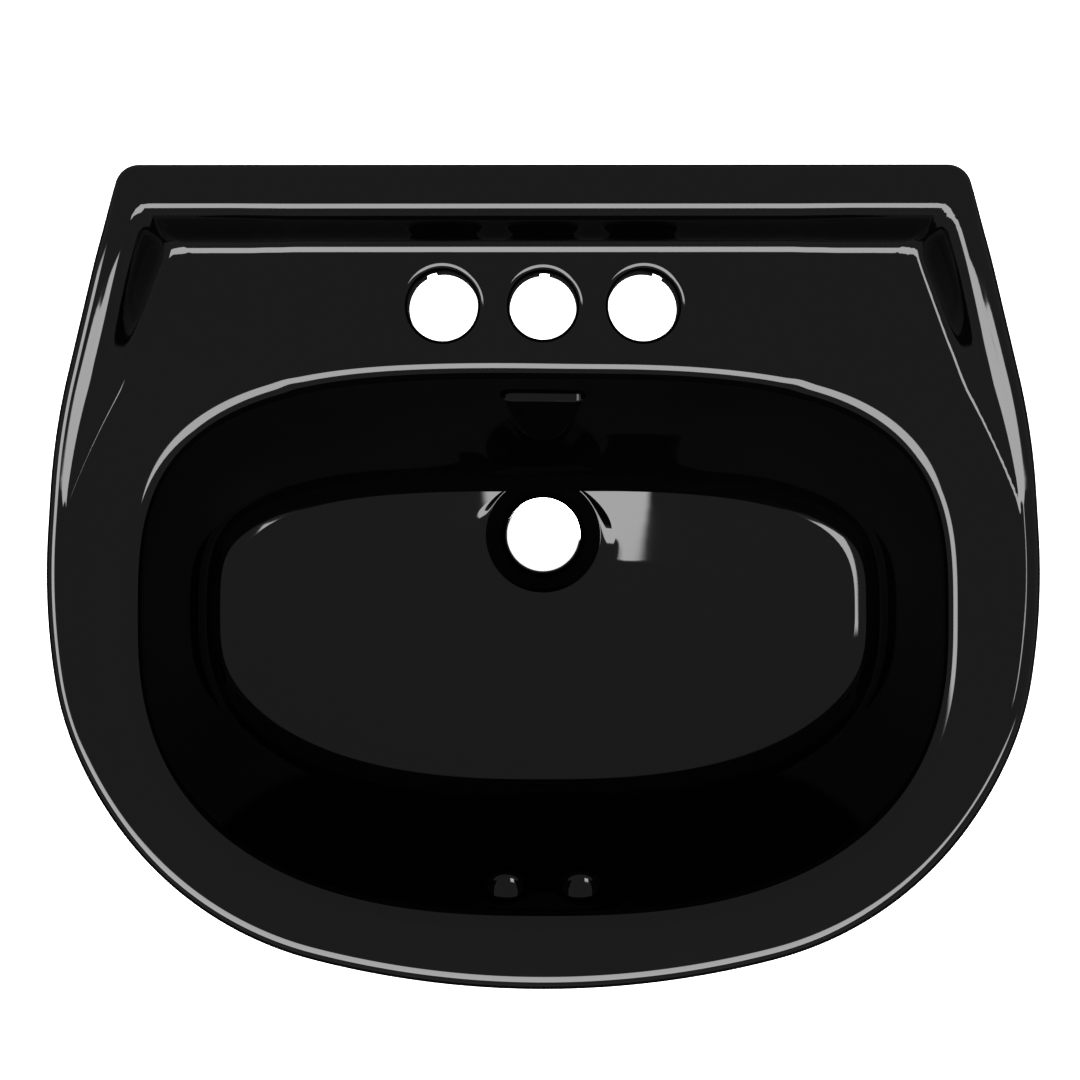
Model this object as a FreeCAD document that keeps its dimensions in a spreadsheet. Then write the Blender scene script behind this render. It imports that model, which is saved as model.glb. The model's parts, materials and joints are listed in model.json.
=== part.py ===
"""Pedestal sink: a vitreous china basin on a hollow pedestal, with its wall and floor fixings.

Millimetres, +Z up, front towards -Y. The origin is on the floor under the drain's centre.
"""
import FreeCAD, Part
import math
import os
import re

import Sketcher

Vector = FreeCAD.Vector

# ---------------------------------------------------------------------------------------------
# Driving dimensions: alias, value in millimetres, what it is
# ---------------------------------------------------------------------------------------------

DIMENSIONS = (
    ("deck_height", 830, "floor to the basin's deck"),
    ("rim_depth", 58, "height of the apron under the deck"),
    ("deck_thickness", 14, "china under the faucet holes"),
    ("wall", 12, "china wall elsewhere"),
    ("rim_half_width", 252, "half the basin's width"),
    ("rim_widest", -20, "where the basin is widest, along Y"),
    ("rim_front", -232, "front of the basin"),
    ("rim_back", 180, "back of the basin, against the wall"),
    ("rim_bend_end", 80, "where the curved sides turn into straight ones, along Y"),
    ("rim_front_radius", 470, "plan radius of the front"),
    ("rim_side_radius", 345, "plan radius of the sides"),
    ("rim_corner_radius", 176, "plan radius of the front corners"),
    ("rim_rear_radius", 12, "plan radius of the back corners"),
    ("ledge_height", 27, "back ledge above the deck"),
    ("ledge_front", 152, "foot of the back ledge"),
    ("ledge_half_width", 186, "straight part of the ledge's foot"),
    ("arm_end", 20, "where the ledge's side arms run out"),
    ("arm_top", 150, "where the side arms leave the ledge"),
    ("arm_width", 22, "width of a side arm"),
    ("drain_radius", 22.3, "drain hole"),
    ("throat_radius", 34, "outside of the drain throat"),
    ("throat_depth", 172, "deck to the throat's lower end"),
    ("seat_depth", 148, "deck to the seat on the pedestal"),
    ("dish_radius", 33, "dish round the drain"),
    ("floor_depth", 120, "deck to the bowl's floor"),
    ("drain_depth", 127, "deck to the drain hole's upper edge"),
    ("faucet_spacing", 101.6, "between the outer faucet holes"),
    ("faucet_back", 116, "faucet holes behind the drain"),
    ("faucet_radius", 17.75, "outer faucet holes"),
    ("faucet_middle_radius", 17, "middle faucet hole"),
    ("slot_half_length", 22, "overflow slot in the back wall"),
    ("slot_radius", 5.5, "half the overflow slot's height"),
    ("slot_depth", 21, "deck to the slot's centre"),
    ("port_radius", 8.7, "round overflow holes in the front wall"),
    ("port_spacing", 39, "between the round overflow holes"),
    ("port_depth", 18, "deck to the round holes' centres"),
    ("channel_half_width", 30, "overflow channels inside the china"),
    ("panel_half_width", 196, "back panel that the wall bolts hold"),
    ("panel_depth", 110, "deck to the back panel's lower edge"),
    ("panel_corner", 30, "cut lower corners of the back panel"),
    ("bolt_spacing", 280, "between the wall bolts"),
    ("bolt_height", 755, "floor to the wall bolts"),
    ("bolt_hole_radius", 8, "holes in the back panel"),
    ("bolt_radius", 5, "wall bolt, M10"),
    ("stud_radius", 6, "end of the wall bolt in the wall's anchor, M12"),
    ("bolt_grip", 26, "wall bolt in front of the back panel"),
    ("bolt_reach", 24, "wall bolt behind the basin, in the wall's anchor"),
    ("sleeve_flange", 3, "flange of a bolt sleeve"),
    ("washer_radius", 15, "wall bolt washer"),
    ("washer_thickness", 2, "wall bolt washer"),
    ("nut_radius", 9.8, "M10 nut over its corners"),
    ("nut_thickness", 8, "M10 nut"),
    ("cap_length", 30, "cap over the nut and the bolt's end"),
    ("pad_thickness", 3, "rubber pads on the pedestal"),
    ("pad_length", 26, "rubber pads"),
    ("pad_width", 9, "rubber pads"),
    ("back_slot_half_width", 44, "opening in the pedestal's back"),
    ("back_slot_top", 590, "top of the opening in the pedestal's back"),
    ("back_slot_bottom", 70, "bottom of the opening in the pedestal's back"),
    ("back_slot_corner", 20, "cut corners of the opening"),
    ("bracket_face", 80, "outer face of a floor bracket's leg"),
    ("bracket_reach", 42, "length of a floor bracket's foot"),
    ("bracket_rise", 54, "height of a floor bracket's leg"),
    ("bracket_thickness", 4, "floor bracket"),
    ("bracket_half_width", 17, "floor bracket"),
    ("floor_hole_radius", 3.25, "floor screw hole"),
    ("floor_hole_spacing", 112, "between the floor screw holes"),
    ("side_screw_height", 30, "floor to the bracket screws"),
    ("side_hole_radius", 7, "holes in the pedestal's sides"),
    ("spot_face", 97, "flat round each side hole, from the middle"),
    ("spot_radius", 13, "flat round each side hole"),
    ("screw_radius", 2.5, "bracket screw"),
    ("screw_head_radius", 6, "bracket screw head"),
    ("screw_head_height", 3, "bracket screw head"),
    ("gap", 0.2, "clearance round plastic and metal parts"),
)

# Cross-sections of the bowl, from its edge down to its floor: depth, half width, front, back
BOWL_SECTIONS = (
    (-1, 209, -196.5, 82),
    (2, 207, -194.5, 80),
    (9, 203, -188.5, 75.5),
    (60, 194.5, -166, 56),
    (86, 187, -149, 45),
    (100, 178, -133, 39),
    (110, 162, -116, 35),
    (117, 132, -94, 32),
    (120, 100, -76, 30),
)

# Cross-sections of the bowl's outside, down to the seat on the pedestal
BELLY_SECTIONS = (
    (4, 216, -213, 97),
    (60, 207, -191, 79),
    (95, 197, -170, 64),
    (118, 179, -151, 60),
    (136, 130, -118, 59),
    (148, 108, -98, 57),
)

# Cross-sections of the pedestal: height, half width, front, back
PEDESTAL_SECTIONS = (
    (0, 105, -115, 84),
    (14, 105, -115, 84),
    (45, 96, -106, 78),
    (130, 80, -92, 66),
    (380, 70, -84, 52),
    (560, 77, -84, 48),
    (679, 98, -88, 47),
)

# Overflow channels inside the china, as (Y, depth) corners
REAR_CHANNEL = (
    (84, 13), (90, 13), (72, 62), (56, 98), (50, 114), (47, 138),
    (18, 138), (18, 131), (39, 131), (41.5, 113), (48, 96), (64, 60),
)
FRONT_CHANNEL = (
    (-197, 8), (-205, 8), (-180, 66), (-153, 107), (-124, 127), (-78, 138),
    (-18, 138), (-18, 131), (-77, 131), (-120, 120), (-147, 101), (-173, 62),
)

# ---------------------------------------------------------------------------------------------
# Document, sheet and expressions
# ---------------------------------------------------------------------------------------------

doc = FreeCAD.newDocument("PedestalSink")
sheet = doc.addObject("Spreadsheet::Sheet", "Dims")
for row, (alias, value, meaning) in enumerate(DIMENSIONS, start=1):
    sheet.set(f"A{row}", str(value))
    sheet.setAlias(f"A{row}", alias)
    sheet.set(f"B{row}", meaning)
doc.recompute()

nodes = {}


def expression(text):
    """The text with every cell's alias given its sheet."""
    return re.sub(r"[a-z][a-z_]+", lambda word: "Dims." + word.group(), text)


def size(text):
    """The present value of an expression of cell aliases."""
    return float(sheet.evalExpression(expression(text)))


def bind(target, path, text):
    target.setExpression(path, expression(text))


def place(target, x="0", y="0", z="0"):
    """Binds a sub-part's position to the sheet."""
    for axis, text in zip("xyz", (x, y, z)):
        bind(target, f"Placement.Base.{axis}", text)


# ---------------------------------------------------------------------------------------------
# Sketches
# ---------------------------------------------------------------------------------------------

CURVE_POINTS = 32  # points that a smooth outline passes through


def new_body(name):
    body = doc.addObject("PartDesign::Body", name)
    body.Label = name
    return body


def sketch_on(body, name, role, offset="0"):
    """A sketch on one of the body's own origin planes, moved along the plane's normal."""
    sketch = body.newObject("Sketcher::SketchObject", name)
    plane = next(feature for feature in body.Origin.OriginFeatures if feature.Role == role)
    sketch.AttachmentSupport = (plane, "")
    sketch.MapMode = "FlatFace"
    bind(sketch, ".AttachmentOffset.Base.z", offset)
    return sketch


def lock_point(sketch, geometry, position, x, y):
    """Dimensions one point of the sketch from its origin, bound to the sheet."""
    for kind, text in (("DistanceX", x), ("DistanceY", y)):
        index = sketch.addConstraint(Sketcher.Constraint(kind, geometry, position, size(text)))
        bind(sketch, f"Constraints[{index}]", text)


def add_polygon(sketch, points):
    """A closed polygon whose corners are pairs of expressions."""
    corners = [Vector(size(x), size(y), 0) for x, y in points]
    count = len(corners)
    first = sketch.GeometryCount
    for index in range(count):
        sketch.addGeometry(Part.LineSegment(corners[index], corners[(index + 1) % count]))
    for index in range(count):
        following = first + (index + 1) % count
        sketch.addConstraint(Sketcher.Constraint("Coincident", first + index, 2, following, 1))
    for index, (x, y) in enumerate(points):
        lock_point(sketch, first + index, 1, x, y)


def add_circle(sketch, x, y, radius):
    """A circle whose centre and radius are expressions."""
    centre = Vector(size(x), size(y), 0)
    circle = sketch.addGeometry(Part.Circle(centre, Vector(0, 0, 1), size(radius)))
    index = sketch.addConstraint(Sketcher.Constraint("Radius", circle, size(radius)))
    bind(sketch, f"Constraints[{index}]", radius)
    lock_point(sketch, circle, 3, x, y)


def meet(centre_a, radius_a, centre_b, radius_b):
    """The right-hand point at the given distances from two centres."""
    between = centre_b - centre_a
    span = between.Length
    along = (radius_a**2 - radius_b**2 + span**2) / (2 * span)
    across = math.sqrt(radius_a**2 - along**2)
    forward = between.normalize()
    aside = Vector(-forward.y, forward.x, 0)
    options = [centre_a + forward * along + aside * side * across for side in (-1, 1)]
    return max(options, key=lambda point: point.x)


def mirror(point):
    """The point's mirror image across the middle of the sink."""
    return Vector(-point.x, point.y, 0)


def arc_edge(centre, radius, start, end):
    """The short arc about a centre, or a straight line if the radius is 0."""
    if radius == 0:
        return Part.LineSegment(start, end)
    middle = centre + ((start + end) * 0.5 - centre).normalize() * radius
    return Part.ArcOfCircle(start, middle, end)


def rounded_outline(half_width, widest, front, back, bend, radii):
    """A symmetrical outline of tangent arcs and lines with a straight back.

    The bend is the angle that the curved sides turn through behind the widest place. The radii are
    those of the front, the sides, the front corners and the back corners.
    """
    front_radius, side_radius, corner_radius, rear_radius = radii
    front_centre = Vector(0, front + front_radius, 0)
    side_centre = Vector(half_width - side_radius, widest, 0)
    corner_centre = meet(
        front_centre, front_radius - corner_radius, side_centre, side_radius - corner_radius
    )
    outward = Vector(math.cos(bend), math.sin(bend), 0)
    side_end = side_centre + outward * side_radius
    inner_end = side_end - outward * rear_radius
    rear_y = back - rear_radius
    rear_centre = Vector(inner_end.x - (rear_y - inner_end.y) * math.tan(bend), rear_y, 0)
    rear_start = rear_centre + outward * rear_radius
    front_end = front_centre + (corner_centre - front_centre).normalize() * front_radius
    side_start = side_centre + (corner_centre - side_centre).normalize() * side_radius
    back_end = Vector(rear_centre.x, back, 0)
    right = (
        (corner_centre, corner_radius, front_end, side_start),
        (side_centre, side_radius, side_start, side_end),
        (side_end, 0, side_end, rear_start),
        (rear_centre, rear_radius, rear_start, back_end),
    )
    left = [
        (mirror(centre), radius, mirror(end), mirror(start))
        for centre, radius, start, end in reversed(right)
    ]
    edges = [Part.ArcOfCircle(mirror(front_end), Vector(0, front, 0), front_end)]
    edges += [arc_edge(*piece) for piece in right]
    edges.append(Part.LineSegment(back_end, mirror(back_end)))
    edges += [arc_edge(*piece) for piece in left]
    return edges


def smooth_outline(half_width, widest, front, back, front_power, back_power):
    """A closed curve between an ellipse and a rectangle; the powers say how square its halves are."""
    points = []
    for number in range(CURVE_POINTS):
        angle = 2 * math.pi * number / CURVE_POINTS - math.pi / 2
        across, along = math.cos(angle), math.sin(angle)
        reach = back - widest if along > 0 else widest - front
        power = back_power if along > 0 else front_power
        share = abs(across / half_width) ** power + abs(along / reach) ** power
        radius = share ** (-1 / power)
        points.append(Vector(radius * across, widest + radius * along, 0))
    curve = Part.BSplineCurve()
    curve.interpolate(Points=points, PeriodicFlag=True)
    return curve


def add_outline(sketch, edges):
    for edge in edges:
        sketch.addGeometry(edge)


# ---------------------------------------------------------------------------------------------
# Features
# ---------------------------------------------------------------------------------------------


def pad(body, sketch, name, length, both_ways=False):
    feature = body.newObject("PartDesign::Pad", name)
    feature.Profile = sketch
    bind(feature, "Length", length)
    feature.Midplane = both_ways
    return feature


def pocket(body, sketch, name, length, against_normal=True, both_ways=False):
    """A cut of the given length; it has to take some material away."""
    doc.recompute()
    before = body.Shape
    feature = body.newObject("PartDesign::Pocket", name)
    feature.Profile = sketch
    bind(feature, "Length", length)
    feature.Midplane = both_ways
    feature.Reversed = not against_normal
    doc.recompute()
    tool = feature.AddSubShape.transformed(feature.Placement.toMatrix())
    assert before.common(tool).Volume > 1, f"{name} cuts nothing"
    return feature


def loft(body, kind, name, sketches, ruled=False):
    feature = body.newObject(f"PartDesign::{kind}", name)
    feature.Profile = sketches[0]
    feature.Sections = sketches[1:]
    feature.Ruled = ruled
    return feature


def revolve(body, sketch, name, kind="Revolution", axis="V_Axis"):
    feature = body.newObject(f"PartDesign::{kind}", name)
    feature.Profile = sketch
    feature.ReferenceAxis = (sketch, [axis])
    feature.Angle = 360
    return feature


def turned(name, profile):
    """A body turned about its own Y axis, from (radius, Y) corners."""
    body = new_body(name)
    sketch = sketch_on(body, name + "_profile", "XY_Plane")
    add_polygon(sketch, profile)
    revolve(body, sketch, name + "_turning")
    nodes[name] = body
    return body


# ---------------------------------------------------------------------------------------------
# Basin
# ---------------------------------------------------------------------------------------------

BOWL_WIDEST = -0.22  # a bowl section is widest this share of its half width in front of the drain
BOWL_POWERS = (2.5, 3.3)  # how square the bowl's front and back are


def rim_outline(inset):
    """The basin's outline, drawn in by the given distance."""
    names = ("rim_front_radius", "rim_side_radius", "rim_corner_radius", "rim_rear_radius")
    radii = [max(size(name) - inset, 3) for name in names]
    half_width = size("rim_half_width") - inset
    front = size("rim_front") + inset
    back = size("rim_back") - inset
    bend = math.asin((size("rim_bend_end") - size("rim_widest")) / size("rim_side_radius"))
    return rounded_outline(half_width, size("rim_widest"), front, back, bend, radii)


def bowl_sketches(body, name, sections):
    """One sketch for each cross-section of the bowl or of its outside."""
    sketches = []
    for number, (depth, half_width, front, back) in enumerate(sections, start=1):
        sketch = sketch_on(body, f"{name}_{number}", "XY_Plane", f"deck_height - ({depth})")
        widest = BOWL_WIDEST * half_width
        curve = smooth_outline(half_width, widest, front, back, *BOWL_POWERS)
        sketch.addGeometry(curve)
        sketches.append(sketch)
    return sketches


def ledge_edges():
    """Back ledge with its two side arms, following the basin's outline."""
    outline = rim_outline(0)
    right_side = outline[2]
    centre = right_side.Center
    arm_end = size("arm_end")
    outer_x = centre.x + math.sqrt(right_side.Radius**2 - (arm_end - centre.y) ** 2)
    outer = Vector(outer_x, arm_end, 0)
    inner = Vector(outer_x - size("arm_width"), arm_end, 0)
    foot = Vector(size("ledge_half_width"), size("ledge_front"), 0)
    turn = foot + Vector(14, -8, 0)
    side_top = max(right_side.StartPoint, right_side.EndPoint, key=lambda point: point.y)
    edges = [*outline[3:8], Part.LineSegment(foot, mirror(foot))]
    for side in (Vector, mirror):
        edges.append(arc_edge(side(centre), right_side.Radius, side(outer), side(side_top)))
        for start, end in ((outer, inner), (inner, turn), (turn, foot)):
            edges.append(Part.LineSegment(side(start), side(end)))
    return edges


def add_channel(body, name, corners):
    """An overflow channel hidden in the china, the same width all along."""
    sketch = sketch_on(body, name + "_path", "YZ_Plane")
    add_polygon(sketch, [(str(y), f"deck_height - {depth}") for y, depth in corners])
    pocket(body, sketch, name, "2 * channel_half_width", both_ways=True)


def build_basin():
    body = new_body("basin")

    rim = sketch_on(body, "rim_plan", "XY_Plane", "deck_height - rim_depth")
    add_outline(rim, rim_outline(0))
    pad(body, rim, "rim", "rim_depth")

    ledge = sketch_on(body, "ledge_plan", "XY_Plane", "deck_height")
    add_outline(ledge, ledge_edges())
    pad(body, ledge, "ledge", "ledge_height")

    slope = sketch_on(body, "arm_slope_profile", "YZ_Plane")
    add_polygon(
        slope,
        [
            ("arm_end - 2", "deck_height"),
            ("arm_top", "deck_height + ledge_height"),
            ("arm_top", "deck_height + ledge_height + 5"),
            ("arm_end - 2", "deck_height + ledge_height + 5"),
        ],
    )
    pocket(body, slope, "arm_slope", "2 * rim_half_width + 10", both_ways=True)

    hollow = sketch_on(body, "hollow_plan", "XY_Plane", "deck_height - rim_depth")
    add_outline(hollow, rim_outline(size("wall")))
    pocket(body, hollow, "underside", "rim_depth - deck_thickness", against_normal=False)

    panel = sketch_on(body, "panel_profile", "XZ_Plane", "-rim_back")
    add_polygon(
        panel,
        [
            ("-panel_half_width", "deck_height - 5"),
            ("-panel_half_width", "deck_height - panel_depth + panel_corner"),
            ("-panel_half_width + panel_corner", "deck_height - panel_depth"),
            ("panel_half_width - panel_corner", "deck_height - panel_depth"),
            ("panel_half_width", "deck_height - panel_depth + panel_corner"),
            ("panel_half_width", "deck_height - 5"),
        ],
    )
    pad(body, panel, "back_panel", "wall")

    belly = bowl_sketches(body, "belly_section", BELLY_SECTIONS)
    loft(body, "AdditiveLoft", "belly", belly, ruled=True)

    throat = sketch_on(body, "throat_plan", "XY_Plane", "deck_height - throat_depth")
    add_circle(throat, "0", "0", "throat_radius")
    pad(body, throat, "throat", "throat_depth - seat_depth + 2")

    bowl = bowl_sketches(body, "bowl_section", BOWL_SECTIONS)
    loft(body, "SubtractiveLoft", "bowl", bowl, ruled=True)

    drain = sketch_on(body, "drain_profile", "XZ_Plane")
    add_polygon(
        drain,
        [
            ("0", "deck_height - floor_depth + 2"),
            ("dish_radius", "deck_height - floor_depth + 2"),
            ("dish_radius", "deck_height - floor_depth - 1"),
            ("drain_radius", "deck_height - drain_depth"),
            ("drain_radius", "deck_height - throat_depth - 5"),
            ("0", "deck_height - throat_depth - 5"),
        ],
    )
    revolve(body, drain, "drain", "Groove")

    faucet = sketch_on(body, "faucet_plan", "XY_Plane", "deck_height + 1")
    add_circle(faucet, "-faucet_spacing / 2", "faucet_back", "faucet_radius")
    add_circle(faucet, "0", "faucet_back", "faucet_middle_radius")
    add_circle(faucet, "faucet_spacing / 2", "faucet_back", "faucet_radius")
    pocket(body, faucet, "faucet_holes", "deck_thickness + 2")

    add_channel(body, "rear_channel", REAR_CHANNEL)
    add_channel(body, "front_channel", FRONT_CHANNEL)

    slot = sketch_on(body, "slot_profile", "XZ_Plane", "-86")
    slot_centre = "deck_height - slot_depth"
    add_polygon(
        slot,
        [
            ("-slot_half_length", f"{slot_centre} - slot_radius"),
            ("slot_half_length", f"{slot_centre} - slot_radius"),
            ("slot_half_length", f"{slot_centre} + slot_radius"),
            ("-slot_half_length", f"{slot_centre} + slot_radius"),
        ],
    )
    pocket(body, slot, "overflow_slot", "30", against_normal=False)

    ports = sketch_on(body, "port_profile", "XZ_Plane", "198")
    for side in ("-", ""):
        add_circle(ports, f"{side}port_spacing / 2", "deck_height - port_depth", "port_radius")
    pocket(body, ports, "overflow_ports", "34")

    bolts = sketch_on(body, "bolt_profile", "XZ_Plane", "-rim_back - 1")
    for side in ("-", ""):
        add_circle(bolts, f"{side}bolt_spacing / 2", "bolt_height", "bolt_hole_radius")
    pocket(body, bolts, "bolt_holes", "wall + 2", against_normal=False)

    nodes["basin"] = body


# ---------------------------------------------------------------------------------------------
# Pedestal
# ---------------------------------------------------------------------------------------------

PEDESTAL_POWERS = (2.6, 4.5)  # how square the pedestal's front and back are


def pedestal_sketches(body, name, inset):
    """One sketch for each cross-section; an inset set runs past both ends."""
    sketches = []
    last = len(PEDESTAL_SECTIONS) - 1
    for number, (height, half_width, front, back) in enumerate(PEDESTAL_SECTIONS):
        past = {0: -1, last: 1}.get(number, 0) if inset else 0
        sketch = sketch_on(body, f"{name}_{number + 1}", "XY_Plane", f"{height} + {past}")
        inside = (half_width - inset, (front + back) / 2, front + inset, back - inset)
        sketch.addGeometry(smooth_outline(*inside, *PEDESTAL_POWERS))
        sketches.append(sketch)
    return sketches


def build_pedestal():
    body = new_body("pedestal")
    loft(body, "AdditiveLoft", "column", pedestal_sketches(body, "column_section", 0))
    inside = pedestal_sketches(body, "inside_section", size("wall"))
    loft(body, "SubtractiveLoft", "inside", inside)

    back = sketch_on(body, "back_profile", "XZ_Plane", "-90")
    narrow = "(back_slot_half_width - back_slot_corner)"
    add_polygon(
        back,
        [
            (f"-{narrow}", "back_slot_bottom"),
            (narrow, "back_slot_bottom"),
            ("back_slot_half_width", "back_slot_bottom + back_slot_corner"),
            ("back_slot_half_width", "back_slot_top - back_slot_corner"),
            (narrow, "back_slot_top"),
            (f"-{narrow}", "back_slot_top"),
            ("-back_slot_half_width", "back_slot_top - back_slot_corner"),
            ("-back_slot_half_width", "back_slot_bottom + back_slot_corner"),
        ],
    )
    pocket(body, back, "back_opening", "70", against_normal=False)

    for name, side, outward in (("right", "", False), ("left", "-", True)):
        spot = sketch_on(body, f"{name}_spot", "YZ_Plane", f"{side}spot_face")
        add_circle(spot, "0", "side_screw_height", "spot_radius")
        pocket(body, spot, f"{name}_spot_face", "12", against_normal=outward)
        hole = sketch_on(body, f"{name}_hole", "YZ_Plane", f"{side}(spot_face + 1)")
        add_circle(hole, "0", "side_screw_height", "side_hole_radius")
        pocket(body, hole, f"{name}_side_hole", "20", against_normal=not outward)

    nodes["pedestal"] = body


def build_pads():
    """Rubber pads that the basin rests on."""
    top = "deck_height - seat_depth - pad_thickness"
    side_x = PEDESTAL_SECTIONS[-1][1] - size("wall") / 2
    front_y = PEDESTAL_SECTIONS[-1][2] + size("wall") / 2
    spots = (
        ("front_left_pad", -34, front_y, "pad_length", "pad_width"),
        ("front_right_pad", 34, front_y, "pad_length", "pad_width"),
        ("back_left_pad", -side_x, -10, "pad_width", "pad_length"),
        ("back_right_pad", side_x, -10, "pad_width", "pad_length"),
    )
    for name, x, y, along_x, along_y in spots:
        block = doc.addObject("Part::Box", name)
        block.Label = name
        bind(block, "Length", along_x)
        bind(block, "Width", along_y)
        bind(block, "Height", "pad_thickness")
        place(block, f"{x} - {along_x} / 2", f"{y} - {along_y} / 2", top)
        nodes[name] = block


# ---------------------------------------------------------------------------------------------
# Wall fixing
# ---------------------------------------------------------------------------------------------


def build_nut(name):
    """A hexagon nut whose bore lies along Y."""
    blank = doc.addObject("Part::Prism", name + "_blank")
    blank.Polygon = 6
    bind(blank, "Circumradius", "nut_radius")
    bind(blank, "Height", "nut_thickness")
    bore = doc.addObject("Part::Cylinder", name + "_bore")
    bind(bore, "Radius", "bolt_radius + 0.05")
    bind(bore, "Height", "nut_thickness + 2")
    bind(bore, "Placement.Base.z", "-1")
    nut = doc.addObject("Part::Cut", name)
    nut.Label = name
    nut.Base = blank
    nut.Tool = bore
    nut.Placement = FreeCAD.Placement(Vector(), FreeCAD.Rotation(Vector(1, 0, 0), 90))
    nodes[name] = nut
    return nut


def build_wall_fixing(name, x):
    """Stud, sleeve, washer, nut and cap of one wall bolt."""
    inner_face = "rim_back - wall"
    flange = f"{inner_face} - sleeve_flange"
    washer_face = f"{flange} - washer_thickness"
    bolt_end = f"{inner_face} - bolt_grip"
    bolt_tip = "rim_back + bolt_reach"
    pieces = [
        turned(
            name + "_wall_stud",
            [
                ("0", bolt_end),
                ("bolt_radius - 1", bolt_end),
                ("bolt_radius", f"{bolt_end} + 1"),
                ("bolt_radius", "rim_back + 1"),
                ("stud_radius", "rim_back + 3"),
                ("stud_radius", f"{bolt_tip} - 1"),
                ("stud_radius - 1", bolt_tip),
                ("0", bolt_tip),
            ],
        ),
        turned(
            name + "_bolt_sleeve",
            [
                ("bolt_radius + gap", flange),
                ("bolt_hole_radius + 5", flange),
                ("bolt_hole_radius + 5", inner_face),
                ("bolt_hole_radius - gap", inner_face),
                ("bolt_hole_radius - gap", "rim_back - 0.5"),
                ("bolt_radius + gap", "rim_back - 0.5"),
            ],
        ),
        turned(
            name + "_bolt_washer",
            [
                ("bolt_radius + 0.25", washer_face),
                ("washer_radius", washer_face),
                ("washer_radius", flange),
                ("bolt_radius + 0.25", flange),
            ],
        ),
        turned(
            name + "_nut_cap",
            [
                ("nut_radius + gap", washer_face),
                ("nut_radius + 2", washer_face),
                ("nut_radius + 2", f"{washer_face} - cap_length + 5"),
                ("nut_radius - 3", f"{washer_face} - cap_length"),
                ("0", f"{washer_face} - cap_length"),
                ("0", f"{washer_face} - cap_length + 2"),
                ("nut_radius - 4", f"{washer_face} - cap_length + 2"),
                ("nut_radius + gap", f"{washer_face} - cap_length + 6"),
            ],
        ),
    ]
    for piece in pieces:
        place(piece, x, "0", "bolt_height")
    place(build_nut(name + "_bolt_nut"), x, washer_face, "bolt_height")


# ---------------------------------------------------------------------------------------------
# Floor fixing
# ---------------------------------------------------------------------------------------------


def build_floor_bracket(name, turn):
    """An L-shaped bracket that a floor screw holds down and a side screw ties to the pedestal."""
    body = new_body(name)
    side = sketch_on(body, name + "_profile", "XZ_Plane")
    heel = "bracket_face - bracket_reach"
    add_polygon(
        side,
        [
            (heel, "0"),
            ("bracket_face", "0"),
            ("bracket_face", "bracket_rise"),
            ("bracket_face - bracket_thickness", "bracket_rise"),
            ("bracket_face - bracket_thickness", "bracket_thickness + 5"),
            ("bracket_face - bracket_thickness - 5", "bracket_thickness"),
            (heel, "bracket_thickness"),
        ],
    )
    pad(body, side, name + "_strip", "2 * bracket_half_width", both_ways=True)
    floor = sketch_on(body, name + "_floor_plan", "XY_Plane", "bracket_thickness + 1")
    add_circle(floor, "floor_hole_spacing / 2", "0", "floor_hole_radius")
    pocket(body, floor, name + "_floor_hole", "bracket_thickness + 2")
    leg = sketch_on(body, name + "_leg_plan", "YZ_Plane", "bracket_face + 1")
    add_circle(leg, "0", "side_screw_height", "screw_radius + 0.05")
    pocket(body, leg, name + "_screw_hole", "bracket_thickness + 2")
    body.Placement = FreeCAD.Placement(Vector(), FreeCAD.Rotation(Vector(0, 0, 1), turn))
    nodes[name] = body


def build_floor_fixing(name, turn):
    """Bracket, screw, sleeve and cap of one side; the turned pieces' Y axis becomes X."""
    build_floor_bracket(name + "_floor_bracket", turn)
    flange = "spot_face + 2.5"
    head = f"{flange} + screw_head_height"
    pieces = (
        turned(
            name + "_screw_sleeve",
            [
                ("screw_radius + gap", "bracket_face"),
                ("side_hole_radius - gap", "bracket_face"),
                ("side_hole_radius - gap", "spot_face"),
                ("spot_radius - 2", "spot_face"),
                ("spot_radius - 2", flange),
                ("screw_radius + gap", flange),
            ],
        ),
        turned(
            name + "_bracket_screw",
            [
                ("0", "bracket_face - 14"),
                ("0.8", "bracket_face - 14"),
                ("screw_radius", "bracket_face - 10"),
                ("screw_radius", flange),
                ("screw_head_radius", flange),
                ("screw_head_radius", f"{head} - 1.2"),
                ("screw_head_radius - 2", head),
                ("0", head),
            ],
        ),
        turned(
            name + "_screw_cap",
            [
                ("screw_head_radius + 0.5", flange),
                ("spot_radius - 2", flange),
                ("spot_radius - 2", f"{flange} + 1.5"),
                ("spot_radius - 5", f"{head} + 1.6"),
                ("0", f"{head} + 2.2"),
                ("0", f"{head} + 0.7"),
                ("screw_head_radius", f"{head} + 0.5"),
                ("screw_head_radius + 0.5", f"{head} - 0.5"),
            ],
        ),
    )
    rotation = FreeCAD.Rotation(Vector(0, 0, 1), turn - 90)
    for piece in pieces:
        piece.Placement = FreeCAD.Placement(Vector(), rotation)
        bind(piece, "Placement.Base.z", "side_screw_height")


# ---------------------------------------------------------------------------------------------
# Whole sink
# ---------------------------------------------------------------------------------------------

build_basin()
build_pedestal()
build_pads()
build_wall_fixing("left", "-bolt_spacing / 2")
build_wall_fixing("right", "bolt_spacing / 2")
build_floor_fixing("right", 0)
build_floor_fixing("left", 180)
doc.recompute()

for item in doc.Objects:
    assert not {"Invalid", "Error"} & set(item.State), f"{item.Name}: {item.State}"
for label, item in nodes.items():
    assert not item.Shape.isNull() and item.Shape.isValid(), f"{label}: bad shape"
    assert len(item.Shape.Solids) == 1, f"{label}: {len(item.Shape.Solids)} solids"

os.makedirs("parts", exist_ok=True)
for label, item in nodes.items():
    item.Shape.exportStep(f"parts/{label}.step")
    print(f"{label}: {item.Shape.Volume / 1000:.1f} cm3")
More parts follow.
